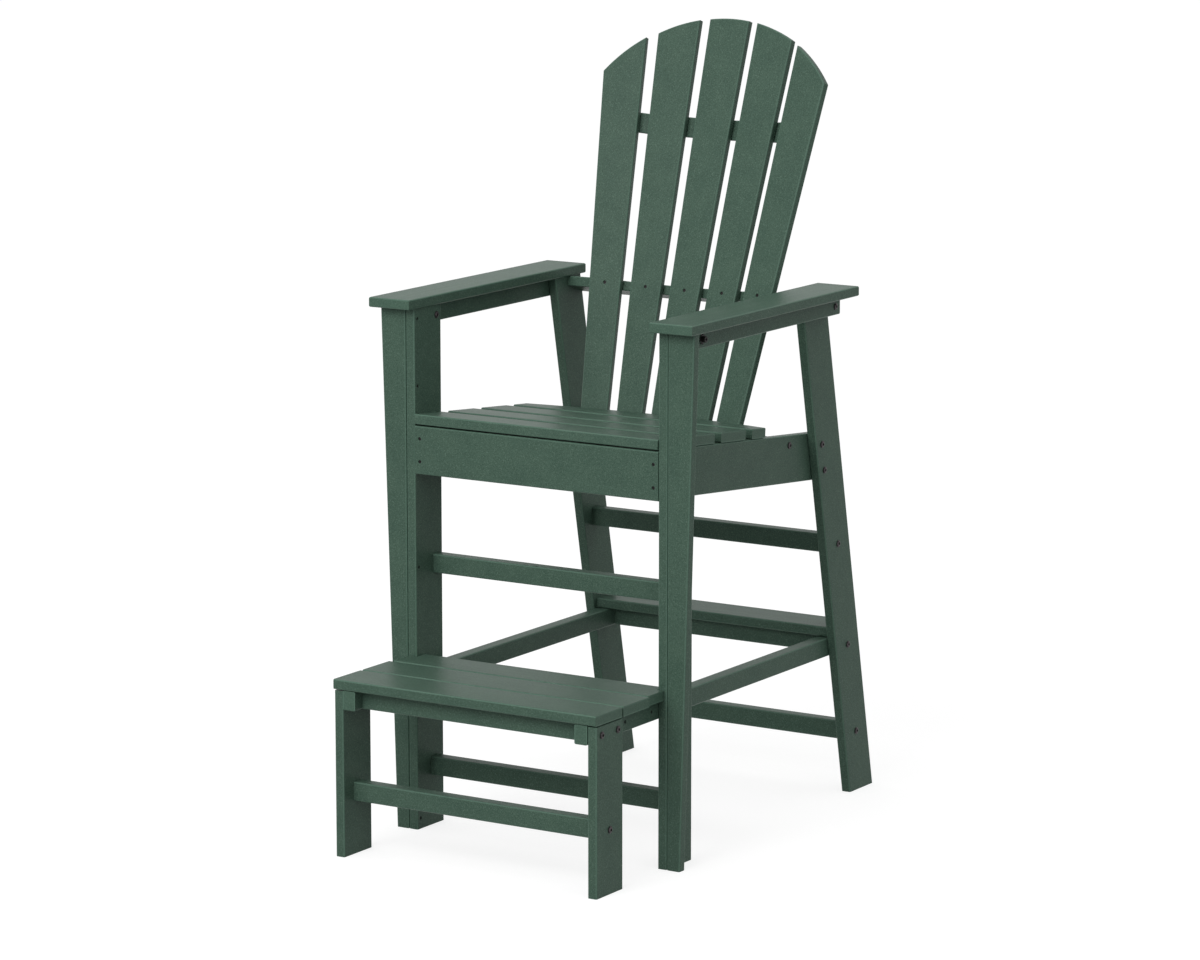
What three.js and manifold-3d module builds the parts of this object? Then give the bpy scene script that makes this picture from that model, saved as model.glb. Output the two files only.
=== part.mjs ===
// Lifeguard chair: a bar-height armchair with a fanned, curved back and a foot step in
// front, cut from boards and rails of recycled plastic lumber and bolted together.
// Millimetres, +Z up, the sitter faces -Y. Depths are measured from the front face of
// the front legs, and the last lines put the origin on the floor under the middle.
import * as THREE from 'three';
import { mergeVertices } from 'three/addons/utils/BufferGeometryUtils.js';
import Module from 'manifold-3d';

const wasm = await Module();
wasm.setup();

const degrees = THREE.MathUtils.degToRad;

// Lumber stock
const boardThickness = 19;
const boardWidth = 90;
const railThickness = 27;
const railHeight = 37;
const edgeRadius = 3;
const endAllowance = 6;
const jointGap = 0.3;

// Leg frame
const innerWidth = 530;
const armHeight = 1010.6;
const taperFootWidth = 28;
const taperTopWidth = 56;
const backLegSetback = 686;
const backLegLean = degrees(11.5);

// Arms and the rails under them
const armFrontOverhang = 24;
const armRearOverhang = 8.8;
const armInnerOverhang = 5.6;

// Seat
const seatHeight = 795;
const seatSlope = degrees(5);
const frontSlatOverhang = 2;
const seatRailWidth = 92;
const apronGap = 1;
const leastSeatSlatGap = 15;
const seatBackGap = 28.5;
const seatRailEndCover = 28;

// Back: slats stand on an arc that is hollow towards the sitter
const backTilt = degrees(18.1);
const backRailBoltDepth = 37.5;
const armBoltInset = 17.6;
const backCurveRadius = 900;
const backSlatCount = 5;
const backSlatSpacing = 85;
const backSlatFan = degrees(2.41);
const backSlatTurnShare = 0.7;
const backSlatThickness = 16;
const slatFootWidth = 54;
const slatHeadWidth = 88;
const slatFootOverhang = 26;
const crownHeight = 534;
const crownRadius = 310;
const backRailWidth = 62;
const backRailEndSetback = 1.5;
const rearSeatRailInset = 20.5;
const braceRise = 320;
const braceHeight = 39;
const braceThickness = 12;
const braceEndInset = 25;
const braceGap = 0.6;

// Stretchers and lower frame
const upperStretcherHeight = 484;
const lowerStretcherHeight = 100.5;
const frontUpperStretcherDepth = 58;
const frontLowerStretcherDepth = 46.5;
const frontLowerStretcherHeight = 96.7;
const longRailHeight = 279;
const longRailRearReach = 28;
const shelfFrontLead = 40;

// Step
const stepReach = 239;
const stepBoardOverhang = 3;
const stepBoardGap = 3;
const stepTongueReach = 26;
const innerStepBoardInset = 6;
const stepLegTopDrop = 2;
const stepApronSetback = 23.5;
const stepCleatSpacing = 91;

// Bolts
const shankRadius = 3.5;
const shankClearance = 0.5;
const washerRadius = 6.8;
const washerThickness = 1.2;
const headRadius = 5.6;
const headHeight = 3.2;
const boltEndBite = 45;
const boltSideCover = 4;
const stepBoltSpacing = 53.6;
const seatBoltSpacing = 52;
const seatBoltInset = 21.4;
const cutOverrun = 2;

// Facet counts
const easeSteps = 2;
const crownSteps = 8;
const rearSlatSteps = 12;
const boltSides = 10;
const headSteps = 2;

// Places worked out from the sizes
const legInner = innerWidth / 2;
const legOuter = legInner + boardThickness;
const legTop = armHeight - boardThickness - jointGap;
const legPlane = legInner + boardThickness / 2;
const insideLegs = legInner - jointGap;
const backLegWidth = boardWidth / Math.cos(backLegLean);
const underArmRailBottom = legTop - railHeight;
const longRailTop = longRailHeight + railHeight;
const longRailInner = insideLegs - railThickness;

// The front edge, the middle and the rear edge of a back leg, at a height above the floor
function backLegFront(height) {
  return backLegSetback - height * Math.tan(backLegLean);
}

function backLegMiddle(height) {
  return backLegFront(height) + backLegWidth / 2;
}

function backLegRear(height) {
  return backLegFront(height) + backLegWidth;
}

// The back has a frame of its own, which leans with the slats and starts on the front of
// the middle slat where the middle rail crosses. That rail's front corner just clears the
// arms, and its bolts stand a little inside the back legs' rear edges.
const railCornerRise = edgeRadius
  + (boardThickness / 2 - edgeRadius) * Math.cos(backTilt)
  - (backRailEndSetback + edgeRadius) * Math.sin(backTilt);
const backHeight = legTop - jointGap - railCornerRise;
const armBoltHeight = backHeight - backRailBoltDepth * Math.sin(backTilt);
const armBoltSetback = backLegRear(armBoltHeight) - armBoltInset;
const backSetback = armBoltSetback - backRailBoltDepth * Math.cos(backTilt);

// The same start seen from the seat: x along the seat's slope, y square to its top
const backFromSeat = new THREE.Vector2(backSetback, backHeight - seatHeight);
backFromSeat.rotateAround(new THREE.Vector2(), seatSlope);
const backToSeatTilt = backTilt - seatSlope;
const seatDepth = backFromSeat.x - backFromSeat.y * Math.tan(backToSeatTilt);

// The rear seat rail's bolts are let in below the seat rails' top edges, and the slats
// end a little below that rail
const rearSeatRailLevel = backFromSeat.y + boardThickness + jointGap + rearSeatRailInset
  - backRailBoltDepth * Math.sin(backToSeatTilt);
const rearSeatRailDrop = rearSeatRailLevel / Math.cos(backToSeatTilt);
const slatFootDrop = rearSeatRailDrop + slatFootOverhang;

// Outlines: the ends are the outer edges that cross the board. They are drawn on by an
// allowance, because boards are sawn to length after their edges are eased.
const leastEndTurn = degrees(40);
const sliver = 0.01;

function findEnds(corners) {
  const winding = Math.sign(THREE.ShapeUtils.area(corners));
  const edges = corners.map((corner, index) => {
    const edge = corners[(index + 1) % corners.length].clone().sub(corner);
    const outward = new THREE.Vector2(edge.y, -edge.x).normalize().multiplyScalar(winding);
    return { edge, outward, index, level: outward.dot(corner) };
  });
  const longest = edges.reduce((most, next) => (
    next.edge.length() > most.edge.length() ? next : most
  ));
  return edges.filter(({ outward, level }) => {
    const turn = Math.acos(Math.min(1, Math.abs(outward.dot(longest.outward))));
    const isOutermost = corners.every((corner) => outward.dot(corner) < level + sliver);
    return turn > leastEndTurn && isOutermost;
  });
}

function outline(points, isSawn = true) {
  const corners = points.map((point) => new THREE.Vector2(...point));
  const ends = isSawn ? findEnds(corners) : [];
  const drawnOn = corners.map((corner) => corner.clone());
  for (const { outward, index } of ends) {
    const following = (index + 1) % corners.length;
    const afterNext = (index + 2) % corners.length;
    for (const [end, behind] of [[index, corners.at(index - 1)], [following, corners[afterNext]]]) {
      const onward = corners[end].clone().sub(behind).normalize();
      drawnOn[end].addScaledVector(onward, endAllowance / onward.dot(outward));
    }
  }
  return { shape: new THREE.Shape(drawnOn), ends };
}

function rectangle(left, bottom, right, top, isSawn = true) {
  return outline([[left, bottom], [right, bottom], [right, top], [left, top]], isSawn);
}

function toSolid(geometry) {
  const bare = geometry.clone();
  bare.deleteAttribute('normal');
  bare.deleteAttribute('uv');
  const merged = mergeVertices(bare);
  return new wasm.Manifold(new wasm.Mesh({
    numProp: 3,
    vertProperties: merged.attributes.position.array,
    triVerts: Uint32Array.from(merged.index.array),
  }));
}

function toGeometry(solid) {
  const mesh = solid.getMesh();
  const geometry = new THREE.BufferGeometry();
  geometry.setAttribute('position', new THREE.BufferAttribute(mesh.vertProperties, 3));
  geometry.setIndex(new THREE.BufferAttribute(mesh.triVerts, 1));
  return geometry;
}

// A plank cut to an outline: its edges are eased, and then its ends are sawn. Its
// thickness is centred on the plane of the outline and lies along the named axis.
const alongX = new THREE.Vector3(1, 0, 0);
const alongY = new THREE.Vector3(0, 1, 0);
const alongZ = new THREE.Vector3(0, 0, 1);
const planeOfPlank = {
  x: [alongY, alongZ, alongX],
  y: [alongX, alongZ, alongY.clone().negate()],
  z: [alongX, alongY, alongZ],
};

function plank({ shape, ends }, thickness, axis) {
  const stock = new THREE.ExtrudeGeometry(shape, {
    depth: thickness - 2 * edgeRadius,
    bevelThickness: edgeRadius,
    bevelSize: edgeRadius,
    bevelOffset: -edgeRadius,
    bevelSegments: easeSteps,
    curveSegments: crownSteps,
  });
  stock.translate(0, 0, edgeRadius - thickness / 2);
  const sawn = ends.reduce(
    (board, { outward, level }) => board.trimByPlane([-outward.x, -outward.y, 0], -level),
    toSolid(stock),
  );
  const geometry = toGeometry(sawn);
  geometry.applyMatrix4(new THREE.Matrix4().makeBasis(...planeOfPlank[axis]));
  return geometry;
}

// Finishes
const lumberFinish = { color: 0x4c6458, roughness: 0.6, metalness: 0 };
const boltFinish = { color: 0x1d1a18, roughness: 0.4, metalness: 0.8 };

function addPiece(parent, name, geometry, x, y, z, finish = lumberFinish) {
  const piece = new THREE.Mesh(geometry, new THREE.MeshStandardMaterial(finish));
  piece.name = name;
  piece.position.set(x, y, z);
  parent.add(piece);
  return piece;
}

const chair = new THREE.Group();
const sides = [
  { side: 'left', sign: -1 },
  { side: 'right', sign: 1 },
];

// A rail of the smaller stock that runs across the chair, front face and underside given
function addCrossRail(name, halfLength, front, bottom) {
  const shape = rectangle(-halfLength, 0, halfLength, railHeight);
  const middle = front + railThickness / 2;
  return addPiece(chair, name, plank(shape, railThickness, 'y'), 0, middle, bottom);
}

// Front legs: an inner board that takes the rails and a tapered board outside it
const frontLegs = {};
for (const { side, sign } of sides) {
  const legShape = rectangle(0, 0, boardWidth, legTop);
  const legBoard = plank(legShape, boardThickness, 'x');
  frontLegs[side] = addPiece(chair, `${side}_front_leg_board`, legBoard, sign * legPlane, 0, 0);

  const taperShape = outline([
    [0, 0],
    [sign * taperFootWidth, 0],
    [sign * taperTopWidth, legTop],
    [0, legTop],
  ]);
  const taper = plank(taperShape, boardThickness, 'y');
  const taperSide = sign * (legOuter + jointGap);
  addPiece(chair, `${side}_front_leg_taper`, taper, taperSide, boardThickness / 2, 0);
}

// Back legs lean forward from the floor and are cut level at both ends
const backLegs = {};
for (const { side, sign } of sides) {
  const lean = legTop * Math.tan(backLegLean);
  const shape = outline([
    [0, 0],
    [backLegWidth, 0],
    [backLegWidth - lean, legTop],
    [-lean, legTop],
  ]);
  const board = plank(shape, boardThickness, 'x');
  backLegs[side] = addPiece(chair, `${side}_back_leg`, board, sign * legPlane, backLegSetback, 0);
}

// Arms, eased all round, each on a rail that is bolted outside the two legs
const armLength = armFrontOverhang + backLegRear(legTop) + armRearOverhang;
const underArmRails = {};
for (const { side, sign } of sides) {
  const armShape = rectangle(-boardWidth / 2, 0, boardWidth / 2, armLength, false);
  const armPlane = sign * (legInner - armInnerOverhang + boardWidth / 2);
  const arm = plank(armShape, boardThickness, 'z');
  addPiece(chair, `${side}_arm`, arm, armPlane, -armFrontOverhang, armHeight - boardThickness / 2);

  const railFront = boardThickness + jointGap;
  const railLength = backLegRear(underArmRailBottom + railHeight / 2) - railFront;
  const railShape = rectangle(0, 0, railLength, railHeight);
  const railPlane = sign * (legOuter + jointGap + railThickness / 2);
  const rail = plank(railShape, railThickness, 'x');
  const railName = `${side}_under_arm_rail`;
  underArmRails[side] = addPiece(chair, railName, rail, railPlane, railFront, underArmRailBottom);
}

// Seat: rails and slats in a frame that slopes down to the back from the front edge
const seat = new THREE.Group();
seat.position.set(0, 0, seatHeight);
seat.rotation.x = -seatSlope;
chair.add(seat);

const seatRailTop = -boardThickness - jointGap;
const seatRailBottom = seatRailTop - seatRailWidth;
const seatRailMiddle = seatRailTop - seatRailWidth / 2;
const seatRailPlane = insideLegs - boardThickness / 2;

// Where a depth and a height below the seat lie along the slope
function alongSeat(depth, level) {
  return (depth - level * Math.sin(seatSlope)) / Math.cos(seatSlope);
}

// The seat bolts stand on a line along the back leg, about the seat rail's middle
const leanRate = Math.tan(backLegLean);
const slopeRate = Math.tan(seatSlope);
const seatRailLine = seatHeight + seatRailMiddle / Math.cos(seatSlope);
const seatBoltLine = backLegSetback + seatBoltInset;
const seatBoltMiddle = (seatRailLine - seatBoltLine * slopeRate) / (1 - leanRate * slopeRate);
const seatBoltRise = seatBoltSpacing / 2 * Math.cos(backLegLean);

function seatBoltPlace(height) {
  return [backLegFront(height) + seatBoltInset, height];
}

const [seatBoltDepth] = seatBoltPlace(seatBoltMiddle);
const seatRailEnd = alongSeat(seatBoltDepth, seatRailMiddle) + seatRailEndCover;
const seatRails = {};
for (const { side, sign } of sides) {
  const front = boardThickness + jointGap;
  const shape = outline([
    [alongSeat(front, seatRailBottom), seatRailBottom],
    [seatRailEnd, seatRailBottom],
    [seatRailEnd, seatRailTop],
    [alongSeat(front, seatRailTop), seatRailTop],
  ]);
  const board = plank(shape, boardThickness, 'x');
  seatRails[side] = addPiece(seat, `${side}_seat_rail`, board, sign * seatRailPlane, 0, 0);
}

// As many slats as the depth takes are spread evenly from the front edge to a last one,
// whose rear edge is cut to the arc of the back and stands a gap before it
const fullSlatsDepth = frontSlatOverhang + seatDepth - seatBackGap - boardWidth;
const fullSlatCount = Math.floor(fullSlatsDepth / (boardWidth + leastSeatSlatGap));
const seatSlatSpacing = fullSlatsDepth / fullSlatCount;
const fullSlatShape = rectangle(-insideLegs, 0, insideLegs, boardWidth);
const rearSlatShape = outline([
  [-insideLegs, 0],
  [insideLegs, 0],
  ...Array.from({ length: rearSlatSteps + 1 }, (_, step) => {
    const offset = insideLegs * (1 - 2 * step / rearSlatSteps);
    return [offset, boardWidth - curveLead(offset)];
  }),
]);
[...Array(fullSlatCount).fill(fullSlatShape), rearSlatShape].forEach((shape, index) => {
  const front = index * seatSlatSpacing - frontSlatOverhang;
  const slat = plank(shape, boardThickness, 'z');
  addPiece(seat, `seat_slat_${index + 1}`, slat, 0, front, -boardThickness / 2);
});

// Front apron: stands upright under the front slat and covers the seat rails' ends
const slatUnderside = seatHeight - boardThickness / Math.cos(seatSlope);
const apronTop = slatUnderside - boardThickness * Math.tan(seatSlope) - apronGap;
const apronShape = rectangle(-insideLegs, 0, insideLegs, seatRailWidth);
const apron = plank(apronShape, boardThickness, 'y');
addPiece(chair, 'front_apron', apron, 0, boardThickness / 2, apronTop - seatRailWidth);

// Back
const back = new THREE.Group();
back.position.set(0, backSetback, backHeight);
back.rotation.x = -backTilt;
chair.add(back);

// How far the arc of the back comes forward at a distance from the middle
function curveLead(offset) {
  return backCurveRadius - Math.sqrt(backCurveRadius ** 2 - offset ** 2);
}

const slatLength = crownHeight + slatFootDrop;
const slatFlare = (slatHeadWidth - slatFootWidth) / 2 / slatLength;

function slatHalfWidth(level) {
  return slatFootWidth / 2 + (level + slatFootDrop) * slatFlare;
}

// Where a slat's side meets the crown, the arc that all the tops are cut to
function sideMeetsCrown(sign, centre) {
  const foot = new THREE.Vector2(sign * slatFootWidth / 2, -slatFootDrop);
  const along = new THREE.Vector2(sign * slatFlare, 1).normalize();
  const toFoot = foot.clone().sub(centre);
  const across = toFoot.dot(along);
  const reach = Math.sqrt(across ** 2 - toFoot.lengthSq() + crownRadius ** 2) - across;
  return foot.addScaledVector(along, reach);
}

// Back slats: tapered boards that fan out, turn in a little and end on the crown
const backSlats = Array.from({ length: backSlatCount }, (_, index) => {
  const place = index - (backSlatCount - 1) / 2;
  const offset = place * backSlatSpacing;
  const fan = place * backSlatFan;
  const braceOffset = offset + braceRise * Math.tan(fan);
  const lean = Math.atan((curveLead(braceOffset) - curveLead(offset)) / braceRise);
  const turn = Math.asin(offset / backCurveRadius) * backSlatTurnShare;

  const crownCentre = new THREE.Vector2(-offset, crownHeight - crownRadius);
  crownCentre.rotateAround(new THREE.Vector2(), fan);
  const leftTop = sideMeetsCrown(-1, crownCentre);
  const rightTop = sideMeetsCrown(1, crownCentre);
  const angleOf = (point) => point.clone().sub(crownCentre).angle();

  const shape = new THREE.Shape();
  shape.moveTo(-slatFootWidth / 2, -slatFootDrop);
  shape.lineTo(slatFootWidth / 2, -slatFootDrop);
  shape.absarc(crownCentre.x, crownCentre.y, crownRadius, angleOf(rightTop), angleOf(leftTop));

  const board = plank({ shape, ends: [] }, backSlatThickness, 'y');
  board.translate(0, backSlatThickness / 2, 0);
  const slat = addPiece(back, `back_slat_${index + 1}`, board, offset, -curveLead(offset), 0);
  slat.rotation.set(lean, fan, -turn, 'YXZ');
  slat.updateMatrix();
  return slat;
});

// The flats that the slats' backs lie on, as points across the back at one level
function slatFlats(level, clearance) {
  return backSlats.flatMap((slat) => [-1, 1].map((sign) => {
    const depth = backSlatThickness + clearance;
    const start = new THREE.Vector3(sign * slatHalfWidth(level), depth, 0);
    start.applyMatrix4(slat.matrix);
    const upward = new THREE.Vector3(0, 0, 1).transformDirection(slat.matrix);
    start.addScaledVector(upward, (level - start.z) / upward.z);
    return [start.x, start.y];
  }));
}

// Rails behind the slats: boards on edge whose front is cut to the slats' flats
function addBackRail(name, halfLength, level) {
  const rear = backRailEndSetback + backRailWidth;
  const shape = outline([
    [-halfLength, backRailEndSetback],
    ...slatFlats(level, jointGap),
    [halfLength, backRailEndSetback],
    [halfLength, rear],
    [-halfLength, rear],
  ]);
  return addPiece(back, name, plank(shape, boardThickness, 'z'), 0, 0, level);
}

const midBackRail = addBackRail('mid_back_rail', insideLegs, 0);
const insideSeatRails = insideLegs - boardThickness - jointGap;
addBackRail('rear_seat_rail', insideSeatRails, -rearSeatRailDrop);

// Upper brace: a thinner strip bent along the backs of the slats, a little shorter than
// the row of slats is wide
function shortenedEnd(end, next) {
  const point = new THREE.Vector2(...end);
  const inward = new THREE.Vector2(...next).sub(point).normalize();
  return point.addScaledVector(inward, braceEndInset).toArray();
}

const braceFlats = slatFlats(braceRise, braceGap);
const braceFront = [
  shortenedEnd(braceFlats.at(0), braceFlats.at(1)),
  ...braceFlats.slice(1, -1),
  shortenedEnd(braceFlats.at(-1), braceFlats.at(-2)),
];
const braceRear = braceFront.map(([x, y]) => [x, y + braceThickness]).reverse();
const braceShape = outline([...braceFront, ...braceRear]);
addPiece(back, 'upper_back_brace', plank(braceShape, braceHeight, 'z'), 0, 0, braceRise);

// Stretchers between the front legs, and between the middles of the back legs
const frontStretchers = [
  ['front_stretcher_upper', frontUpperStretcherDepth, upperStretcherHeight],
  ['front_stretcher_lower', frontLowerStretcherDepth, frontLowerStretcherHeight],
];
for (const [name, front, bottom] of frontStretchers) {
  addCrossRail(name, insideLegs, front, bottom);
}

function addBackCrossRail(name, halfLength, bottom) {
  const front = backLegMiddle(bottom + railHeight / 2) - railThickness / 2;
  return addCrossRail(name, halfLength, front, bottom);
}

const upperBackStretcher = addBackCrossRail(
  'back_stretcher_upper', insideLegs, upperStretcherHeight,
);
const lowerBackStretcher = addBackCrossRail(
  'back_stretcher_lower', insideLegs, lowerStretcherHeight,
);

// Long rails run from the step's legs past the front legs to the back legs
const crossRailHalf = longRailInner - jointGap;
const backCrossRail = addBackCrossRail('back_cross_rail', crossRailHalf, longRailHeight);
const longRailMiddle = longRailHeight + railHeight / 2;
const longRailRear = backLegMiddle(longRailMiddle) + longRailRearReach;
const longRails = {};
for (const { side, sign } of sides) {
  const shape = rectangle(-stepReach, 0, longRailRear, railHeight);
  const rail = plank(shape, railThickness, 'x');
  const railPlane = sign * (insideLegs - railThickness / 2);
  longRails[side] = addPiece(chair, `${side}_long_rail`, rail, railPlane, 0, longRailHeight);
}

// Shelf board on the rear ends of the long rails
const shelfShape = rectangle(-insideLegs, 0, insideLegs, boardWidth);
const shelfFront = backLegMiddle(longRailMiddle) - shelfFrontLead;
const shelfPlane = longRailTop + jointGap + boardThickness / 2;
const shelf = plank(shelfShape, boardThickness, 'z');
addPiece(chair, 'back_shelf_board', shelf, 0, shelfFront, shelfPlane);

// Step: two legs outside the long rails, three boards on top and cross rails under them
const stepLegs = {};
for (const { side, sign } of sides) {
  const legHeight = longRailTop - stepLegTopDrop;
  const board = plank(rectangle(0, 0, boardWidth, legHeight), boardThickness, 'x');
  stepLegs[side] = addPiece(chair, `${side}_step_leg`, board, sign * legPlane, -stepReach, 0);
}

// The innermost board is shorter and is notched at its rear corners to pass between
// the front legs
const innerBoardHalf = legOuter - innerStepBoardInset;
const stepBoardPitch = boardWidth + stepBoardGap;
const innerBoardToLegs = stepReach + stepBoardOverhang - 2 * stepBoardPitch - jointGap;
const innerBoardWidth = innerBoardToLegs + stepTongueReach;
const fullStepBoard = rectangle(-legOuter, 0, legOuter, boardWidth);
const notchedStepBoard = outline([
  [-innerBoardHalf, 0],
  [innerBoardHalf, 0],
  [innerBoardHalf, innerBoardToLegs],
  [insideLegs, innerBoardToLegs],
  [insideLegs, innerBoardWidth],
  [-insideLegs, innerBoardWidth],
  [-insideLegs, innerBoardToLegs],
  [-innerBoardHalf, innerBoardToLegs],
]);
[fullStepBoard, fullStepBoard, notchedStepBoard].forEach((shape, index) => {
  const board = plank(shape, boardThickness, 'z');
  const front = index * stepBoardPitch - stepReach - stepBoardOverhang;
  addPiece(chair, `step_board_${index + 1}`, board, 0, front, shelfPlane);
});

const stepCrossRails = ['step_apron', 'step_cleat_middle', 'step_cleat_rear'];
stepCrossRails.forEach((name, index) => {
  const front = stepApronSetback - stepReach + index * stepCleatSpacing;
  addCrossRail(name, crossRailHalf, front, longRailHeight);
});

const stepLegMiddle = boardWidth / 2 - stepReach;
const stepStretcherFront = stepLegMiddle - railThickness / 2;
const stepStretcher = addCrossRail(
  'step_stretcher', insideLegs, stepStretcherFront, lowerStretcherHeight,
);

// Bolts: a domed head on a washer, with a plain shank that runs inward from the face
// that the washer bears on
function boltGeometry(shankLength) {
  const points = [
    new THREE.Vector2(0, -shankLength),
    new THREE.Vector2(shankRadius, -shankLength),
    new THREE.Vector2(shankRadius, 0),
    new THREE.Vector2(washerRadius, 0),
    new THREE.Vector2(washerRadius, washerThickness),
  ];
  for (let step = 0; step <= headSteps; step += 1) {
    const angle = step / headSteps * Math.PI / 2;
    const radius = step === headSteps ? 0 : headRadius * Math.cos(angle);
    points.push(new THREE.Vector2(radius, washerThickness + headHeight * Math.sin(angle)));
  }
  return new THREE.LatheGeometry(points, boltSides);
}

// A hole across a board, for the shank of a bolt whose washer bears at a point. Boards
// in the leaning frames turn about X alone, so the hole stays square to their faces.
function drill(board, sign, bearing, shankLength) {
  const depth = shankLength + shankClearance;
  const hole = new THREE.CylinderGeometry(
    shankRadius + shankClearance, shankRadius + shankClearance, depth + cutOverrun, boltSides,
  );
  hole.rotateZ(Math.PI / 2);
  const centre = bearing.clone();
  centre.x -= sign * (depth - cutOverrun) / 2;
  board.updateWorldMatrix(true, false);
  board.worldToLocal(centre);
  hole.translate(centre.x, centre.y, centre.z);
  board.geometry = toGeometry(toSolid(board.geometry).subtract(toSolid(hole)));
}

// Other bolts stand in the middle of the rail that they hold
function backLegPlace(railBottom) {
  const height = railBottom + railHeight / 2;
  return [backLegMiddle(height), height];
}

// Each joint: where its bolt stands (depth and height), how far its shank reaches from
// the outer face, and the boards that the shank goes through, the outermost first
const throughTwoBoards = 2 * boardThickness + jointGap - boltSideCover;
const throughBoardAndRail = boardThickness + jointGap + railThickness - boltSideCover;
const legToEndGrain = boardThickness + jointGap + boltEndBite;
const railAndLegToEndGrain = legToEndGrain + railThickness + jointGap;
const halfStepBoltSpacing = stepBoltSpacing / 2;

const joints = [
  {
    name: 'seat_bolt_upper',
    place: seatBoltPlace(seatBoltMiddle + seatBoltRise),
    reach: throughTwoBoards,
    boards: [backLegs, seatRails],
  },
  {
    name: 'seat_bolt_lower',
    place: seatBoltPlace(seatBoltMiddle - seatBoltRise),
    reach: throughTwoBoards,
    boards: [backLegs, seatRails],
  },
  {
    name: 'back_stretcher_bolt_upper',
    place: backLegPlace(upperStretcherHeight),
    reach: legToEndGrain,
    boards: [backLegs, upperBackStretcher],
  },
  {
    name: 'back_stretcher_bolt_lower',
    place: backLegPlace(lowerStretcherHeight),
    reach: legToEndGrain,
    boards: [backLegs, lowerBackStretcher],
  },
  {
    name: 'back_cross_rail_bolt',
    place: backLegPlace(longRailHeight),
    reach: railAndLegToEndGrain,
    boards: [backLegs, longRails, backCrossRail],
  },
  {
    name: 'arm_bolt',
    place: [armBoltSetback, armBoltHeight],
    bearing: legOuter + jointGap + railThickness,
    reach: railAndLegToEndGrain,
    boards: [underArmRails, backLegs, midBackRail],
  },
  {
    name: 'step_bolt_front',
    place: [stepLegMiddle - halfStepBoltSpacing, longRailMiddle],
    reach: throughBoardAndRail,
    boards: [stepLegs, longRails],
  },
  {
    name: 'step_bolt_rear',
    place: [stepLegMiddle + halfStepBoltSpacing, longRailMiddle],
    reach: throughBoardAndRail,
    boards: [stepLegs, longRails],
  },
  {
    name: 'step_stretcher_bolt',
    place: [stepLegMiddle, lowerStretcherHeight + railHeight / 2],
    reach: legToEndGrain,
    boards: [stepLegs, stepStretcher],
  },
];

for (const { side, sign } of sides) {
  for (const { name, place, bearing = legOuter, reach, boards } of joints) {
    const washerFace = new THREE.Vector3(sign * (bearing + jointGap), ...place);
    for (const board of boards) {
      drill(board[side] ?? board, sign, washerFace, reach);
    }
    const bolt = boltGeometry(reach).rotateZ(-sign * Math.PI / 2);
    addPiece(chair, `${side}_${name}`, bolt, ...washerFace.toArray(), boltFinish);
  }
}

// The origin: on the floor, under the middle of the box round the chair
const frontmost = -stepReach - stepBoardOverhang;
const rearmost = backLegSetback + backLegWidth;
chair.position.y = -(frontmost + rearmost) / 2;

export default chair;
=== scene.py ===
"""Lifeguard chair of extruded plastic lumber: the finished boards, bolts and screws round
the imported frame, with a plain floor, soft studio light and the photograph's camera."""
import math

import bmesh
import bpy
from mathutils import Matrix, Vector


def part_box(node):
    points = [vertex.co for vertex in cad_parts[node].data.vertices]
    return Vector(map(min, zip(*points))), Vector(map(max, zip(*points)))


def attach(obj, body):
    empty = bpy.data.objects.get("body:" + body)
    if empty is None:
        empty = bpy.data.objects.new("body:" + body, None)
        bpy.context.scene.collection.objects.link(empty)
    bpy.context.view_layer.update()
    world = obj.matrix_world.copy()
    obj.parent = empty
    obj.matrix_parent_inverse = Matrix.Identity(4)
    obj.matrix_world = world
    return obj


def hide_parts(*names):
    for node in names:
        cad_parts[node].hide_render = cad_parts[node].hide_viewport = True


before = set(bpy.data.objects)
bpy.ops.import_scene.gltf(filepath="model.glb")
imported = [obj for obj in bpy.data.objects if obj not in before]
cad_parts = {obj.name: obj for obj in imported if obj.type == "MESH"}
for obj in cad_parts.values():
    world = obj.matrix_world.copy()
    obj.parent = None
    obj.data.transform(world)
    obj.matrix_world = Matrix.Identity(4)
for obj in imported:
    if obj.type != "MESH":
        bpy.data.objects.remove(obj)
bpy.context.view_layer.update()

# Lengths are in metres, and the chair's own sizes are written in millimetres
MM = 0.001
scene = bpy.context.scene

# Lumber stock: the long edges are eased, and the ends are sawn sharp
edge_radius = 3 * MM
edge_steps = 5

# Sawn boards are a little narrower than their seats, so that their joints read as dark
# lines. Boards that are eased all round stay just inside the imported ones, whose easing has
# fewer steps.
sawn_board_clearance = 0.5 * MM
eased_board_clearance = 0.2 * MM

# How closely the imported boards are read. Their outlines are cut just past the eased edges.
merge_distance = 0.001 * MM
same_place = 0.02 * MM
same_line = 2 * same_place
same_direction = 0.99999
least_face = 100 * MM * MM
outline_depth = 1.2 * edge_radius
centring_rounds = 3

# A face that looks this nearly along its board is a sawn end
end_direction = 0.9

# How far one board's stretch of the grain lies from the next one's, along, across and
# through the boards, so that no two boards look alike
grain_shifts = (1.7, 0.31, 0.13)

# Screws: a bugle head with a square socket, driven a little below the face
screw_head_radius = 3.2 * MM
screw_head_depth = 3 * MM
screw_bulge_radius = 0.9 * screw_head_radius
screw_bulge_height = 0.7 * screw_head_depth
screw_neck_radius = 0.5 * screw_head_radius
screw_head_drop = 1.6 * MM
screw_socket_radius = 1.6 * MM
screw_socket_depth = 1.5 * MM
screw_socket_sides = 4
screw_sides = 24

# The holes that the screws leave, and how far their cutters stand above the face
screw_hole_radius = 3.5 * MM
screw_hole_end_radius = 0.9 * screw_hole_radius
screw_hole_depth = 5.6 * MM
cutter_rise = 1 * MM

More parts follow.
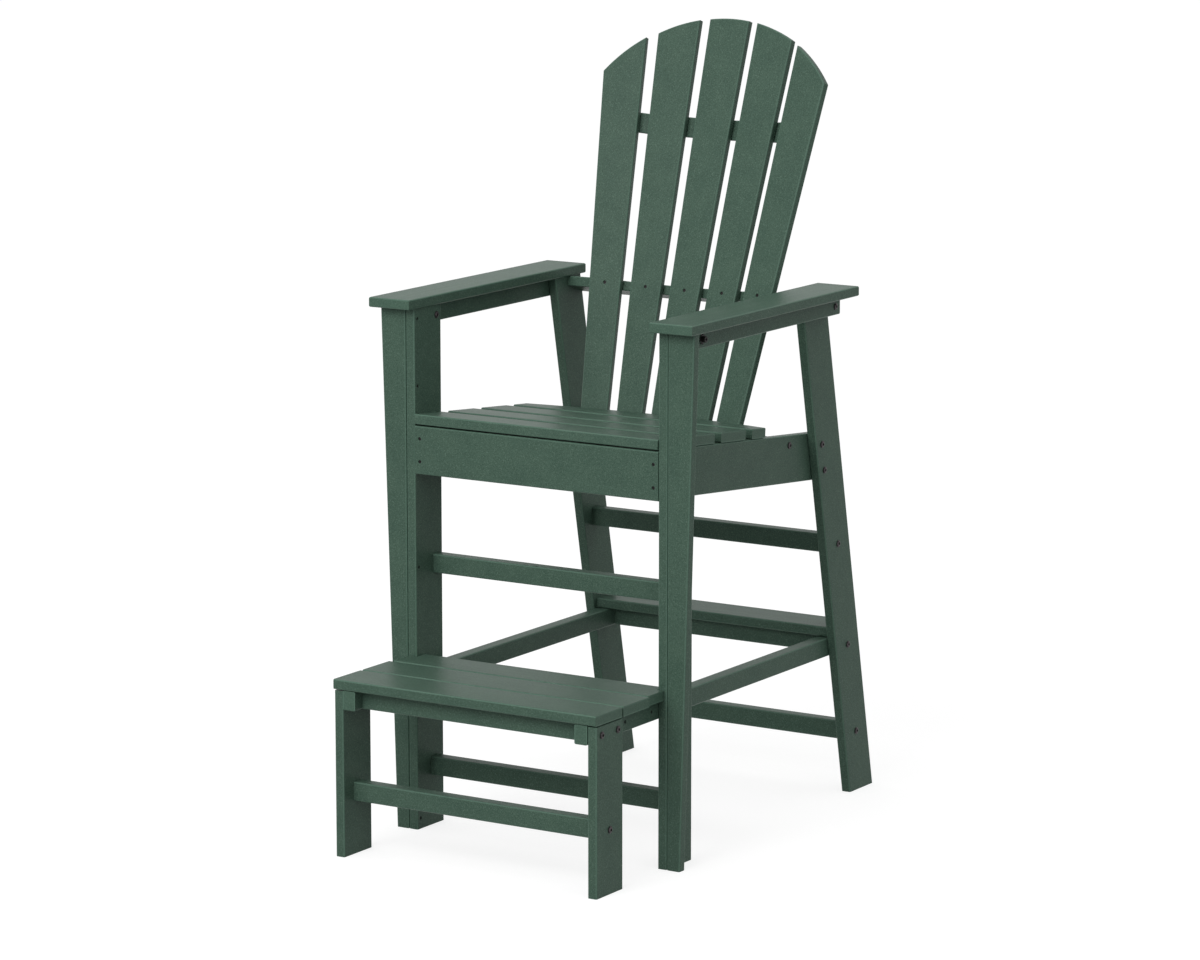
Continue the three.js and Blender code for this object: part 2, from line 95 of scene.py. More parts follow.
# Bolts: a button head on a plain washer, domed up to the rim of its hex socket
washer_radius = 6.6 * MM
washer_thickness = 0.9 * MM
bolt_head_radius = 5.6 * MM
bolt_head_height = 1.9 * MM
bolt_rim_height = 0.5 * MM
bolt_socket_radius = 2.8 * MM
bolt_socket_rim = 0.3 * MM
bolt_socket_depth = 1.7 * MM
bolt_socket_sides = 6
bolt_sides = 48
bolt_dome_steps = 8

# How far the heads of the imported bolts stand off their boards. They are higher than the
# heads made here, which stand on the same faces.
packed_head_height = 4.4 * MM

# The cap screws at the fronts of the arms' rails, on toothed washers
toothed_washer_radii = (10.2 * MM, 7.4 * MM)
toothed_washer_teeth = 9
toothed_washer_thickness = 1.6 * MM
cap_profile = [(5.8 * MM, 0), (5.8 * MM, 6.6 * MM), (5.2 * MM, 7.2 * MM), (3 * MM, 7.2 * MM)]

# Where the screws stand on their boards, and the bolts at the fronts of the arms' rails
arm_rail_bolt_setback = 55 * MM
arm_rail_bolt_rise = 17.6 * MM
taper_screw_shift = 2 * MM
taper_screw_heights = [20.7 * MM, 261 * MM, 502.6 * MM, 845.5 * MM, 971.6 * MM]
apron_screw_inset = 10.4 * MM
apron_screw_spacing = 43 * MM

# Edges that turn by more than this many degrees are shaded sharp
board_crease = 35
turned_crease = 50
washer_crease = 30

# The studio, in metres and watts: a wide floor, a dome, and a broad lamp in front
floor_half_width = 40
dome_strength = 0.76
lamp_place = Vector((-0.2, -5.0, 3.9))
lamp_target = Vector((0, 0, 0.8))
lamp_width = 3.6
lamp_power = 182

# The photograph's camera: its place in metres, its turn in degrees, its lens and sensor in
# millimetres, and how far it sees in metres
camera_place = (4.593261, -7.341060, 2.233315)
camera_turn = (79.668, 0.016, 32.184)
camera_lens = 140.617
camera_sensor_width = 36
camera_reach = 200

# The Mix node's sockets for colours, which share their names with its other sockets
first_colour = 6
second_colour = 7
mixed_colour = 2


# Colours are written as sRGB hex and turned to the linear values that shaders take
def linear(hex_colour):
    channels = [int(hex_colour[i:i + 2], 16) / 255 for i in (1, 3, 5)]
    return [c / 12.92 if c <= 0.04045 else ((c + 0.055) / 1.055) ** 2.4 for c in channels] + [1.0]


# One node with its settings, and links or values for its inputs
def add_node(tree, kind, inputs=(), **settings):
    node = tree.nodes.new(kind)
    for name, value in settings.items():
        setattr(node, name, value)
    for socket, value in dict(inputs).items():
        if isinstance(value, bpy.types.NodeSocket):
            tree.links.new(value, node.inputs[socket])
        else:
            node.inputs[socket].default_value = value
    return node


def empty_material(name):
    material = bpy.data.materials.new(name)
    material.use_nodes = True
    material.node_tree.nodes.clear()
    return material, material.node_tree


# Extruded recycled HDPE lumber, dark green all through: a matte face with the fine orange-peel
# grain of the cooling die and a painted highlight on its raised tops, faint streaks along the
# board, and edges that the planer leaves a little smoother, with a painted highlight along them
def extruded_hdpe_lumber():
    # The real peel and pores are about 1 mm across, which is too fine to show from the
    # camera, so they are drawn coarser
    peel_size = 2.4 * MM
    pore_size = 1.7 * MM
    streak_width = 5 * MM
    streak_length = 240 * MM
    mottle_size = 45 * MM

    # The wave node draws its bands 0.31 of this size apart, so the saw marks are 1.9 mm apart
    saw_wave_size = 6 * MM

    # The saw marks' height as a share of the peel's, and how much smoother the edges are
    peel_height = 0.3 * MM
    saw_mark_share = 0.35
    edge_polish = -0.06
    mild_specular = 0.09

    # The fine noise is turned by these radians, so that all faces of a board cut it alike
    grain_turn = (0.6, 0.4, 0.3)

    material, tree = empty_material("extruded_hdpe_lumber")
    grain = add_node(tree, "ShaderNodeAttribute", attribute_name="grain").outputs["Vector"]
    eased = add_node(tree, "ShaderNodeAttribute", attribute_name="eased").outputs["Fac"]
    sawn = add_node(tree, "ShaderNodeAttribute", attribute_name="sawn").outputs["Fac"]

    turned = add_node(tree, "ShaderNodeMapping", {
        "Vector": grain, "Rotation": grain_turn,
    }).outputs["Vector"]
    peel = add_node(tree, "ShaderNodeTexNoise", {
        "Vector": turned, "Scale": 1 / peel_size, "Detail": 2.0, "Roughness": 0.6,
    }).outputs["Fac"]
    pores = add_node(tree, "ShaderNodeTexNoise", {
        "Vector": turned, "Scale": 1 / pore_size, "Detail": 1.0, "Roughness": 0.5,
    }).outputs["Fac"]
    stretched = add_node(tree, "ShaderNodeMapping", {
        "Vector": grain, "Scale": (1 / streak_length, 1 / streak_width, 1 / streak_width),
    }).outputs["Vector"]
    streaks = add_node(tree, "ShaderNodeTexNoise", {
        "Vector": stretched, "Scale": 1.0, "Detail": 3.0, "Roughness": 0.55,
    }).outputs["Fac"]
    mottle = add_node(tree, "ShaderNodeTexNoise", {
        "Vector": grain, "Scale": 1 / mottle_size, "Detail": 2.0, "Roughness": 0.5,
    }).outputs["Fac"]

    # Body colour: slow mottling, then faint lighter streaks along the board
    mottled = add_node(tree, "ShaderNodeMapRange", {
        "Value": mottle, "From Min": 0.3, "From Max": 0.7,
    }).outputs["Result"]
    body = add_node(tree, "ShaderNodeMix", {
        "Factor": mottled, first_colour: linear("#42594D"), second_colour: linear("#485F52"),
    }, data_type="RGBA").outputs[mixed_colour]
    streak_share = add_node(tree, "ShaderNodeMapRange", {
        "Value": streaks, "From Min": 0.42, "From Max": 0.72, "To Min": 0.0, "To Max": 0.12,
    }).outputs["Result"]
    streaked = add_node(tree, "ShaderNodeMix", {
        "Factor": streak_share, first_colour: body, second_colour: linear("#546C5E"),
    }, data_type="RGBA").outputs[mixed_colour]

    # Speckle: dark pores; and a painted highlight, a lighter colour on the peel's raised tops
    pore_share = add_node(tree, "ShaderNodeMapRange", {
        "Value": pores, "From Min": 0.36, "From Max": 0.56, "To Min": 0.4, "To Max": 0.0,
    }).outputs["Result"]
    speckled = add_node(tree, "ShaderNodeMix", {
        "Factor": pore_share, first_colour: streaked, second_colour: linear("#1F2E24"),
    }, data_type="RGBA").outputs[mixed_colour]
    peel_highlight_share = add_node(tree, "ShaderNodeMapRange", {
        "Value": peel, "From Min": 0.54, "From Max": 0.68, "To Min": 0.0, "To Max": 0.34,
    }).outputs["Result"]
    peel_highlighted = add_node(tree, "ShaderNodeMix", {
        "Factor": peel_highlight_share, first_colour: speckled, second_colour: linear("#718879"),
    }, data_type="RGBA").outputs[mixed_colour]

    # Eased edges get a lighter painted highlight, and sawn ends are a little lighter
    painted_edge_highlight_share = add_node(tree, "ShaderNodeMapRange", {
        "Value": eased, "From Min": 0.2, "From Max": 1.0, "To Min": 0.0, "To Max": 0.5,
    }).outputs["Result"]
    edge_highlighted = add_node(tree, "ShaderNodeMix", {
        "Factor": painted_edge_highlight_share, first_colour: peel_highlighted, second_colour: linear("#627F70"),
    }, data_type="RGBA").outputs[mixed_colour]
    end_share = add_node(tree, "ShaderNodeMapRange", {
        "Value": sawn, "To Min": 0.0, "To Max": 0.25,
    }).outputs["Result"]
    colour = add_node(tree, "ShaderNodeMix", {
        "Factor": end_share, first_colour: edge_highlighted, second_colour: linear("#4E6A5B"),
    }, data_type="RGBA").outputs[mixed_colour]

    # The face is satin to matte from streak to streak, and the eased edges are smoother
    matte = add_node(tree, "ShaderNodeMapRange", {
        "Value": streaks, "From Min": 0.3, "From Max": 0.7, "To Min": 0.39, "To Max": 0.45,
    }).outputs["Result"]
    roughness = add_node(tree, "ShaderNodeMath", {
        0: eased, 1: edge_polish, 2: matte,
    }, operation="MULTIPLY_ADD").outputs["Value"]

    # The peel stands up a little, and the saw leaves lower marks across the cut ends
    saw_marks = add_node(tree, "ShaderNodeTexWave", {
        "Vector": grain, "Scale": 1 / saw_wave_size, "Distortion": 1.5, "Detail": 1.0,
    }, bands_direction="Y").outputs["Fac"]
    cut_marks = add_node(tree, "ShaderNodeMath", {
        0: saw_marks, 1: sawn,
    }, operation="MULTIPLY").outputs["Value"]
    relief = add_node(tree, "ShaderNodeMath", {
        0: cut_marks, 1: saw_mark_share, 2: peel,
    }, operation="MULTIPLY_ADD").outputs["Value"]
    bump = add_node(tree, "ShaderNodeBump", {
        "Height": relief, "Strength": 0.55, "Distance": peel_height,
    }).outputs["Normal"]

    shader = add_node(tree, "ShaderNodeBsdfPrincipled", {
        "Base Color": colour, "Roughness": roughness, "IOR": 1.54,
        "Specular IOR Level": mild_specular, "Normal": bump,
    })
    add_node(tree, "ShaderNodeOutputMaterial", {"Surface": shader.outputs["BSDF"]})
    return material


# Steel with a dark bronze coating baked on: satin, with a soft brown-mauve sheen and
# a few spots where a driver has rubbed the coating
def bronze_coated_steel():
    # The real coat's grain is finer, and is drawn as coarse as it needs to show close up
    coat_grain = 0.6 * MM
    rub_size = 3 * MM
    coat_height = 0.05 * MM

    material, tree = empty_material("bronze_coated_steel")
    place = add_node(tree, "ShaderNodeTexCoord").outputs["Object"]
    coat = add_node(tree, "ShaderNodeTexNoise", {
        "Vector": place, "Scale": 1 / coat_grain, "Detail": 2.0,
    }).outputs["Fac"]
    rubs = add_node(tree, "ShaderNodeTexNoise", {
        "Vector": place, "Scale": 1 / rub_size, "Detail": 2.0,
    }).outputs["Fac"]
    rub_share = add_node(tree, "ShaderNodeMapRange", {
        "Value": rubs, "From Min": 0.5, "From Max": 0.7, "To Min": 0.0, "To Max": 0.6,
    }).outputs["Result"]
    colour = add_node(tree, "ShaderNodeMix", {
        "Factor": rub_share, first_colour: linear("#3B3739"), second_colour: linear("#5E585A"),
    }, data_type="RGBA").outputs[mixed_colour]
    roughness = add_node(tree, "ShaderNodeMapRange", {
        "Value": coat, "From Min": 0.3, "From Max": 0.7, "To Min": 0.34, "To Max": 0.46,
    }).outputs["Result"]
    bump = add_node(tree, "ShaderNodeBump", {
        "Height": coat, "Strength": 0.2, "Distance": coat_height,
    }).outputs["Normal"]
    shader = add_node(tree, "ShaderNodeBsdfPrincipled", {
        "Base Color": colour, "Metallic": 0.75, "Roughness": roughness, "Normal": bump,
    })
    add_node(tree, "ShaderNodeOutputMaterial", {"Surface": shader.outputs["BSDF"]})
    return material


# Steel with a black oxide finish, as on the screws, the cap screws and the toothed washers:
# nearly black, dull, a little oily. It also lines every socket, and in the bronze heads it is
# painted shade
def black_oxide_steel_and_socket_shade():
    # The real oxide's grain is finer, and is drawn as coarse as it needs to show close up
    oxide_grain = 0.5 * MM

    material, tree = empty_material("black_oxide_steel_and_socket_shade")
    place = add_node(tree, "ShaderNodeTexCoord").outputs["Object"]
    oxide_and_socket_shade = add_node(tree, "ShaderNodeTexNoise", {
        "Vector": place, "Scale": 1 / oxide_grain, "Detail": 2.0,
    }).outputs["Fac"]
    colour = add_node(tree, "ShaderNodeMix", {
        "Factor": oxide_and_socket_shade, first_colour: linear("#080707"), second_colour: linear("#151312"),
    }, data_type="RGBA").outputs[mixed_colour]
    roughness = add_node(tree, "ShaderNodeMapRange", {
        "Value": oxide_and_socket_shade, "From Min": 0.3, "From Max": 0.7, "To Min": 0.55, "To Max": 0.7,
    }).outputs["Result"]
    shader = add_node(tree, "ShaderNodeBsdfPrincipled", {
        "Base Color": colour, "Metallic": 0.2, "Roughness": roughness,
    })
    add_node(tree, "ShaderNodeOutputMaterial", {"Surface": shader.outputs["BSDF"]})
    return material


# The direction through a plank: the one with the largest flat faces on both of its sides
def through_plank(packed):
    tried = []
    through = None
    largest = 0.0
    for face in packed.faces:
        direction = face.normal.copy()
        if face.calc_area() < least_face:
            continue
        if any(abs(direction.dot(other)) > same_direction for other in tried):
            continue
        tried.append(direction)
        depths = [v.co.dot(direction) for v in packed.verts]
        flat_areas = []
        for sign, level in ((1, max(depths)), (-1, min(depths))):
            flat_areas.append(sum(
                f.calc_area() for f in packed.faces
                if f.normal.dot(direction) * sign > same_direction
                and abs(f.verts[0].co.dot(direction) - level) < same_place
            ))
        if min(flat_areas) > largest:
            through = direction
            largest = min(flat_areas)
    return through


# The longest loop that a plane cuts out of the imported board: its outline
def cut_outline(packed, direction, level):
    everything = packed.verts[:] + packed.edges[:] + packed.faces[:]
    cut = bmesh.ops.bisect_plane(
        packed, geom=everything, plane_co=direction * level, plane_no=direction,
    )["geom_cut"]
    unused = [edge for edge in cut if isinstance(edge, bmesh.types.BMEdge)]
    loops = []
    while unused:
        edge = unused.pop(0)
        start, current = edge.verts
        loop = [start.co.copy()]
        while current is not start:
            loop.append(current.co.copy())
            edge = next(e for e in current.link_edges if e in unused)
            unused.remove(edge)
            current = edge.other_vert(current)
        loops.append(loop)
    return max(loops, key=lambda points: sum((a - b).length for a, b in zip(points, points[1:])))


# Only the points where an outline bends, counter-clockwise
def bends_of(points):
    corners = list(points)
    index = 0
    while index < len(corners):
        before, point = corners[index - 1], corners[index]
        chord = corners[(index + 1) % len(corners)] - before
        if abs(chord.cross(point - before)) < same_place * chord.length:
            del corners[index]
            index = max(index - 1, 0)
        else:
            index += 1
    area = sum(a.cross(b) for a, b in zip(corners, corners[1:] + corners[:1]))
    return corners if area > 0 else corners[::-1]


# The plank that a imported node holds: its axes along, across and through, its outline in
# (along, across), which sides of the outline are sawn, its middle plane and thickness
def read_plank(node):
    packed = bmesh.new()
    packed.from_mesh(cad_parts[node].data)
    bmesh.ops.remove_doubles(packed, verts=packed.verts, dist=merge_distance)
    packed.normal_update()
    through = through_plank(packed)
    depths = [v.co.dot(through) for v in packed.verts]
    top, bottom = max(depths), min(depths)
    face_points = [v.co.copy() for v in packed.verts if top - v.co.dot(through) < same_place]
    outline = cut_outline(packed, through, top - outline_depth)
    packed.free()

    lines = [b - a for a, b in zip(outline, outline[1:] + outline[:1])]
    along = max(lines, key=lambda line: line.length).normalized()
    if along[max(range(3), key=lambda axis: abs(along[axis]))] < 0:
        along = -along
    across = through.cross(along)
    flat = [Vector((point.dot(along), point.dot(across))) for point in outline]
    face_flat = [Vector((point.dot(along), point.dot(across))) for point in face_points]
    corners = bends_of(flat)

    # Where the flat face runs right out to a side, that side is sawn
    sawn = []
    for start, end in zip(corners, corners[1:] + corners[:1]):
        side = (end - start).normalized()
        sawn.append(any(
            abs(side.cross(point - start)) < same_line
            and 0 < side.dot(point - start) < (end - start).length
            for point in face_flat
        ))
    return {
        "along": along, "across": across, "through": through, "corners": corners, "sawn": sawn,
        "middle": (top + bottom) / 2, "thickness": top - bottom,
    }


# The outline with its eased sides drawn in by a distance
def drawn_in(corners, sawn, distance):
    result = []
    count = len(corners)
    for i, corner in enumerate(corners):
        before = (corner - corners[i - 1]).normalized()
        after = (corners[(i + 1) % count] - corner).normalized()
        inward_before = Vector((-before.y, before.x))
        inward_after = Vector((-after.y, after.x))
        if sawn[i - 1] == sawn[i]:
            reach = 0.0 if sawn[i] else distance
            mitre = (inward_before + inward_after) / (1 + inward_before.dot(inward_after))
            result.append(corner + mitre * reach)
        elif sawn[i]:
            result.append(corner + after * distance / after.dot(inward_before))
        else:
            result.append(corner - before * distance / -before.dot(inward_after))
    return result


# Faces between each ring of points and the next, and one across each end
def close_rings(part, rings):
    part.faces.new(rings[0][::-1])
    part.faces.new(rings[-1])
    for low, high in zip(rings, rings[1:]):
        for i in range(len(low)):
            j = (i + 1) % len(low)
            part.faces.new((low[i], low[j], high[j], high[i]))


# A finished plank: rings of points go round its outline, over the eased edges on both
# faces, and the two faces close it
def finished_plank(plank):
    half = plank["thickness"] / 2
    clearance = sawn_board_clearance if any(plank["sawn"]) else eased_board_clearance
    levels = []
    for step in range(edge_steps + 1):
        angle = math.pi / 2 * (1 - step / edge_steps)
        levels.append((
            clearance + edge_radius * (1 - math.cos(angle)),
            edge_radius * (1 - math.sin(angle)) - half,
        ))
    levels += [(inset, -level) for inset, level in reversed(levels)]
    board = bmesh.new()
    rings = []
    for inset, level in levels:
        depth = plank["middle"] + level
        rings.append([
            board.verts.new(
                plank["along"] * p.x + plank["across"] * p.y + plank["through"] * depth)
            for p in drawn_in(plank["corners"], plank["sawn"], inset)
        ])
    close_rings(board, rings)
    return board


# A ring of points about an axis, one for each of the radii
def ring_about(part, base, axis, radii, height):
    turn = axis.to_track_quat("Z", "Y").to_matrix()
    ring = []
    for i, radius in enumerate(radii):
        angle = 2 * math.pi * i / len(radii)
        point = Vector((radius * math.cos(angle), radius * math.sin(angle), height))
        ring.append(part.verts.new(base + turn @ point))
    return ring


# The radii of a circle's points once they are moved onto a polygon inside it
def flat_sided(radius, flats, points):
    sector = 2 * math.pi / flats
    angles = [2 * math.pi * i / points for i in range(points)]
    return [
        radius * math.cos(sector / 2) / math.cos(angle % sector - sector / 2)
        for angle in angles
    ]


# A turned part about an axis: (radius, height) points, closed at the bottom. A socket
# with flat sides goes down from the last ring, and takes the piece's second material.
def turned_part(base, axis, profile, sides, socket_sides, socket_radius, socket_depth):
    part = bmesh.new()
    rings = [
        ring_about(part, base, axis, [radius] * sides, height) for radius, height in profile
    ]
    top = profile[-1][1]
    socket = flat_sided(socket_radius, socket_sides, sides)
    for height in (top, top - socket_depth):
        rings.append(ring_about(part, base, axis, socket, height))
    close_rings(part, rings)
    bottom = set(rings[-1])
    for face in part.faces:
        face.material_index = int(any(vertex in bottom for vertex in face.verts))
    return part


def add_object(name, part):
    mesh = bpy.data.meshes.new(name)
    part.to_mesh(mesh)
    part.free()
    added = bpy.data.objects.new(name, mesh)
    scene.collection.objects.link(added)
    return added


# A finished piece with its materials, shaded smooth except at its creases
def add_piece(name, part, materials, crease):
    part.normal_update()
    piece = add_object(name, part)
    piece.data.shade_smooth()
    piece.data.set_sharp_from_angle(angle=math.radians(crease))
    for material in materials:
        piece.data.materials.append(material)
    even = piece.modifiers.new("even_shading", "WEIGHTED_NORMAL")
    even.keep_sharp = True
    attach(piece, "root")
    return piece


# The board with its screw holes cut out of it
def with_screw_holes(board, places):
    if not places:
        return board
    holes = bmesh.new()
    for place, outward in places:
        turn = outward.to_track_quat("Z", "Y").to_matrix().to_4x4()
        centre = Matrix.Translation(place - outward * (screw_hole_depth - cutter_rise) / 2)
        bmesh.ops.create_cone(
            holes, cap_ends=True, segments=screw_sides, radius1=screw_hole_end_radius,
            radius2=screw_hole_radius, depth=screw_hole_depth + cutter_rise,
            matrix=centre @ turn,
        )
    uncut = add_object("uncut_board", board)
    cutter = add_object("screw_holes", holes)
    cut = uncut.modifiers.new("screw_holes", "BOOLEAN")
    cut.operation = "DIFFERENCE"
    cut.solver = "EXACT"
    cut.object = cutter
    result = uncut.evaluated_get(bpy.context.evaluated_depsgraph_get())
    drilled = bmesh.new()
    drilled.from_mesh(result.to_mesh())
    result.to_mesh_clear()
    for helper in (uncut, cutter):
        bpy.data.objects.remove(helper)
    return drilled


# Where each vertex lies in its board, how far it is over an eased edge, which counts most
# half way round, and which faces are sawn ends
def mark_grain(piece, plank, seed):
    mesh = piece.data
    shift = Vector([seed * step for step in grain_shifts])
    straight = plank["thickness"] / 2 - edge_radius
    grain = []
    eased = []
    for vertex in mesh.vertices:
        level = vertex.co.dot(plank["through"]) - plank["middle"]
        place = Vector((vertex.co.dot(plank["along"]), vertex.co.dot(plank["across"]), level))
        grain += list(place + shift)
        over = min(1.0, max(0.0, (abs(level) - straight) / edge_radius))
        eased.append(math.sin(2 * math.asin(over)))
    sawn = [
        float(abs(face.normal.dot(plank["along"])) > end_direction) for face in mesh.polygons
    ]
    mesh.attributes.new("grain", "FLOAT_VECTOR", "POINT").data.foreach_set("vector", grain)
    mesh.attributes.new("eased", "FLOAT", "POINT").data.foreach_set("value", eased)
    mesh.attributes.new("sawn", "FLOAT", "FACE").data.foreach_set("value", sawn)


lumber = extruded_hdpe_lumber()
bronze = bronze_coated_steel()
oxide_and_socket_shade = black_oxide_steel_and_socket_shade()

board_nodes = sorted(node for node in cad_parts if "bolt" not in node)
bolt_nodes = sorted(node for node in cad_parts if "bolt" in node)
planks = {node: read_plank(node) for node in board_nodes}
side_signs = {"left": -1, "right": 1}
front = Vector((0, -1, 0))


# The point moved square onto the face of a plank that looks in a direction, and the
# face's outward normal
def on_face(node, direction, point):
    plank = planks[node]
    sign = 1 if plank["through"].dot(direction) > 0 else -1
    outward = plank["through"] * sign
    level = sign * plank["middle"] + plank["thickness"] / 2
    return point + outward * (level - point.dot(outward)), outward


def middle_of(node):
    low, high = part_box(node)
    return (low + high) / 2


# Where the line half way between a plank's two long sides comes to a level, which can cut
# the plank at a slant, so that it takes a few rounds
def on_centre_line(node, up, level):
    plank = planks[node]
    corners = plank["corners"]
    across = 0.0
    for _ in range(centring_rounds):
        point = plank["across"] * across + plank["through"] * plank["middle"]
        reach = (level - point.dot(up)) / plank["along"].dot(up)
        crossings = [
            start.y + (end.y - start.y) * (reach - start.x) / (end.x - start.x)
            for start, end in zip(corners, corners[1:] + corners[:1])
            if (start.x - reach) * (end.x - reach) < 0
        ]
        across = (min(crossings) + max(crossings)) / 2
    return point + plank["along"] * reach


# The screws of each board: where each stands on its face, and the face's outward normal
screws = {node: [] for node in board_nodes}
for slat in [node for node in board_nodes if node.startswith("back_slat")]:
    for rail in ("mid_back_rail", "rear_seat_rail"):
        point = on_centre_line(slat, planks[rail]["through"], planks[rail]["middle"])
        screws[slat].append(on_face(slat, front, point))

for side, sign in side_signs.items():
    leg = f"{side}_front_leg_board"
    taper_middle = middle_of(f"{side}_front_leg_taper")
    for height in taper_screw_heights:
        point = Vector((taper_middle.x, taper_middle.y + taper_screw_shift, height))
        screws[leg].append(on_face(leg, Vector((-sign, 0, 0)), point))
    low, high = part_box("front_apron")
    for half in (-0.5, 0.5):
        height = (low.z + high.z) / 2 + half * apron_screw_spacing
        point = Vector((sign * (high.x - apron_screw_inset), low.y, height))
        screws["front_apron"].append(on_face("front_apron", front, point))
    rail = f"{side}_long_rail"
    for cleat in ("step_cleat_middle", "step_cleat_rear"):
        screws[rail].append(on_face(rail, Vector((sign, 0, 0)), middle_of(cleat)))

# Boards
for seed, node in enumerate(board_nodes):
    board = with_screw_holes(finished_plank(planks[node]), screws[node])
    piece = add_piece(f"lumber_{node}", board, [lumber], board_crease)
    mark_grain(piece, planks[node], seed)
    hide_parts(node)


# A washer, then a button head whose dome ends at the rim of its socket
def bolt_profile():
    rim_level = washer_thickness + bolt_rim_height
    points = [
        (washer_radius, 0), (washer_radius, washer_thickness),
        (bolt_head_radius, washer_thickness), (bolt_head_radius, rim_level),
    ]
    dome = bolt_head_height - bolt_rim_height
    last_angle = math.acos((bolt_socket_radius + bolt_socket_rim) / bolt_head_radius)
    for step in range(1, bolt_dome_steps + 1):
        angle = last_angle * step / bolt_dome_steps
        height = dome * math.sin(angle) / math.sin(last_angle)
        points.append((bolt_head_radius * math.cos(angle), rim_level + height))
    return points


# A bolt's head or a cap screw's, which are driven by the same hex key
# The socket takes the black oxide, which in a bronze head is painted shade in the hollow
def add_bolt_head(name, base, outward, profile, finish):
    head = turned_part(
        base, outward, profile, bolt_sides,
        bolt_socket_sides, bolt_socket_radius, bolt_socket_depth,
    )
    return add_piece(name, head, [finish, oxide_and_socket_shade], turned_crease)


# A flat star of a washer, whose rim goes out and in once for each tooth
def add_toothed_washer(name, base, axis):
    part = bmesh.new()
    radii = toothed_washer_radii * toothed_washer_teeth
    close_rings(part, [
        ring_about(part, base, axis, radii, height) for height in (0, toothed_washer_thickness)
    ])
    add_piece(name, part, [oxide_and_socket_shade], washer_crease)


# A screw's bugle head, sunk below the face
def add_screw(name, place, outward):
    base = place - outward * (screw_head_drop + screw_head_depth)
    profile = [
        (screw_neck_radius, 0), (screw_bulge_radius, screw_bulge_height),
        (screw_head_radius, screw_head_depth),
    ]
    head = turned_part(
        base, outward, profile, screw_sides,
        screw_socket_sides, screw_socket_radius, screw_socket_depth,
    )
    add_piece(name, head, [oxide_and_socket_shade, oxide_and_socket_shade], turned_crease)


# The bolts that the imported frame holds
for node in bolt_nodes:
    low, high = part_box(node)
    sign = 1 if high.x > 0 else -1
    head_top = high.x if sign > 0 else -low.x
    face = head_top - packed_head_height
    base = Vector((sign * face, (low.y + high.y) / 2, (low.z + high.z) / 2))
    bolt = add_bolt_head(f"steel_{node}", base, Vector((sign, 0, 0)), bolt_profile(), bronze)
    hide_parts(node)

# The other bolts: through the fronts of the arms' rails and the legs, with a cap screw on a
# toothed washer outside, and through the seat rails into the rear rail
for side, sign in side_signs.items():
    outward = Vector((sign, 0, 0))
    low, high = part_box(f"{side}_under_arm_rail")
    place = Vector((0, low.y + arm_rail_bolt_setback, low.z + arm_rail_bolt_rise))
    base, normal = on_face(f"{side}_under_arm_rail", outward, place)
    add_toothed_washer(f"steel_{side}_toothed_washer", base, normal)
    base = base + normal * toothed_washer_thickness
    add_bolt_head(f"steel_{side}_arm_rail_cap_screw", base, normal, cap_profile, oxide_and_socket_shade)
    base, normal = on_face(f"{side}_front_leg_board", -outward, place)
    add_bolt_head(f"steel_{side}_arm_rail_inner_bolt", base, normal, bolt_profile(), bronze)
    base, normal = on_face(f"{side}_seat_rail", outward, middle_of("rear_seat_rail"))
    add_bolt_head(f"steel_{side}_rear_seat_rail_bolt", base, normal, bolt_profile(), bronze)

# Screws
for node, places in screws.items():
    for number, (place, outward) in enumerate(places, start=1):
        add_screw(f"screw_{node}_{number}", place, outward)


# 1 for what the camera sees, straight, mirrored or through something clear, and 0 for the
# light that falls on things
def seen_by_camera(tree):
    path = add_node(tree, "ShaderNodeLightPath").outputs
    mirrored = add_node(tree, "ShaderNodeMath", {
        0: path["Is Camera Ray"], 1: path["Is Glossy Ray"],
    }, operation="MAXIMUM").outputs["Value"]
    return add_node(tree, "ShaderNodeMath", {
        0: mirrored, 1: path["Is Transmission Ray"],
    }, operation="MAXIMUM").outputs["Value"]


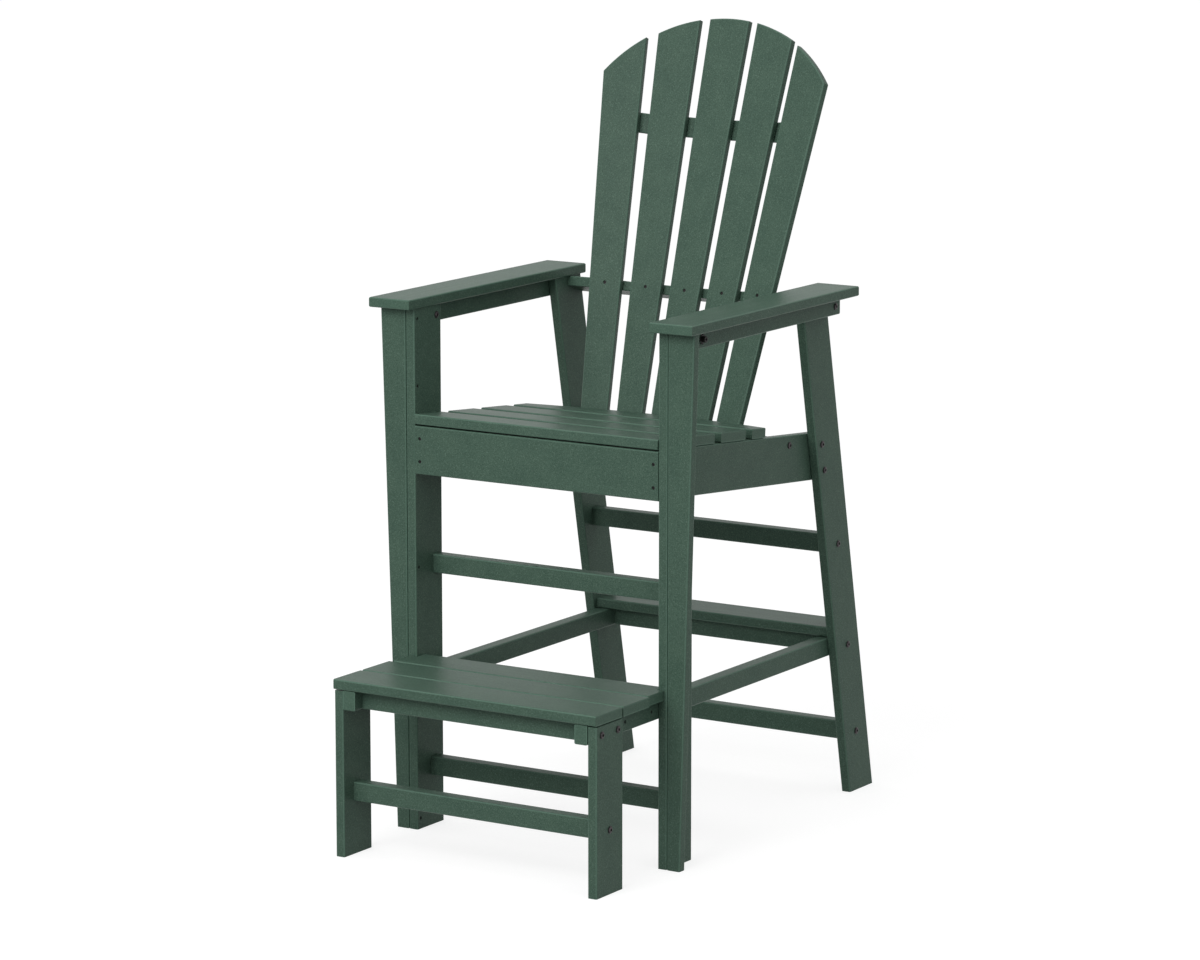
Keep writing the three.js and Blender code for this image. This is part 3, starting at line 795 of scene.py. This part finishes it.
# Floor: pale and matte. The camera sees it lighter than it lights the chair, so that it
# runs out into the white background, while it keeps the chair's shadow.
def studio_floor():
    bounce_colour = linear("#949494")
    seen_glow = 0.785

    material, tree = empty_material("studio_floor")
    matte = add_node(tree, "ShaderNodeBsdfDiffuse", {"Color": bounce_colour}).outputs["BSDF"]
    level = add_node(tree, "ShaderNodeMath", {
        0: seen_by_camera(tree), 1: seen_glow,
    }, operation="MULTIPLY").outputs["Value"]
    glow = add_node(tree, "ShaderNodeEmission", {"Strength": level}).outputs["Emission"]
    both = add_node(tree, "ShaderNodeAddShader", {0: matte, 1: glow}).outputs["Shader"]
    add_node(tree, "ShaderNodeOutputMaterial", {"Surface": both})
    return material


floor_mesh = bpy.data.meshes.new("floor")
floor_mesh.from_pydata([
    (-floor_half_width, -floor_half_width, 0), (floor_half_width, -floor_half_width, 0),
    (floor_half_width, floor_half_width, 0), (-floor_half_width, floor_half_width, 0),
], [], [(0, 1, 2, 3)])
floor_mesh.materials.append(studio_floor())
floor = bpy.data.objects.new("floor", floor_mesh)
scene.collection.objects.link(floor)


# The world: a soft white dome. What the camera, metal and gloss see of it is plain white.
def studio_dome():
    world = bpy.data.worlds.new("studio_dome")
    world.use_nodes = True
    tree = world.node_tree
    tree.nodes.clear()
    level = add_node(tree, "ShaderNodeMapRange", {
        "Value": seen_by_camera(tree), "To Min": dome_strength, "To Max": 1.0,
    }).outputs["Result"]
    background = add_node(tree, "ShaderNodeBackground", {
        "Color": (1.0, 1.0, 1.0, 1.0), "Strength": level,
    }).outputs["Background"]
    add_node(tree, "ShaderNodeOutputWorld", {"Surface": background})
    return world


scene.world = studio_dome()

# Lamp
lamp_data = bpy.data.lights.new("front_lamp", "AREA")
lamp_data.shape = "DISK"
lamp_data.size = lamp_width
lamp_data.energy = lamp_power
lamp = bpy.data.objects.new("front_lamp", lamp_data)
lamp.location = lamp_place
lamp.rotation_euler = (lamp_target - lamp_place).to_track_quat("-Z", "Y").to_euler()
scene.collection.objects.link(lamp)

# Camera
camera_data = bpy.data.cameras.new("camera")
camera_data.lens = camera_lens
camera_data.sensor_width = camera_sensor_width
camera_data.clip_end = camera_reach
camera = bpy.data.objects.new("camera", camera_data)
camera.location = camera_place
camera.rotation_euler = [math.radians(angle) for angle in camera_turn]
scene.collection.objects.link(camera)
scene.camera = camera

scene.view_settings.view_transform = "Standard"
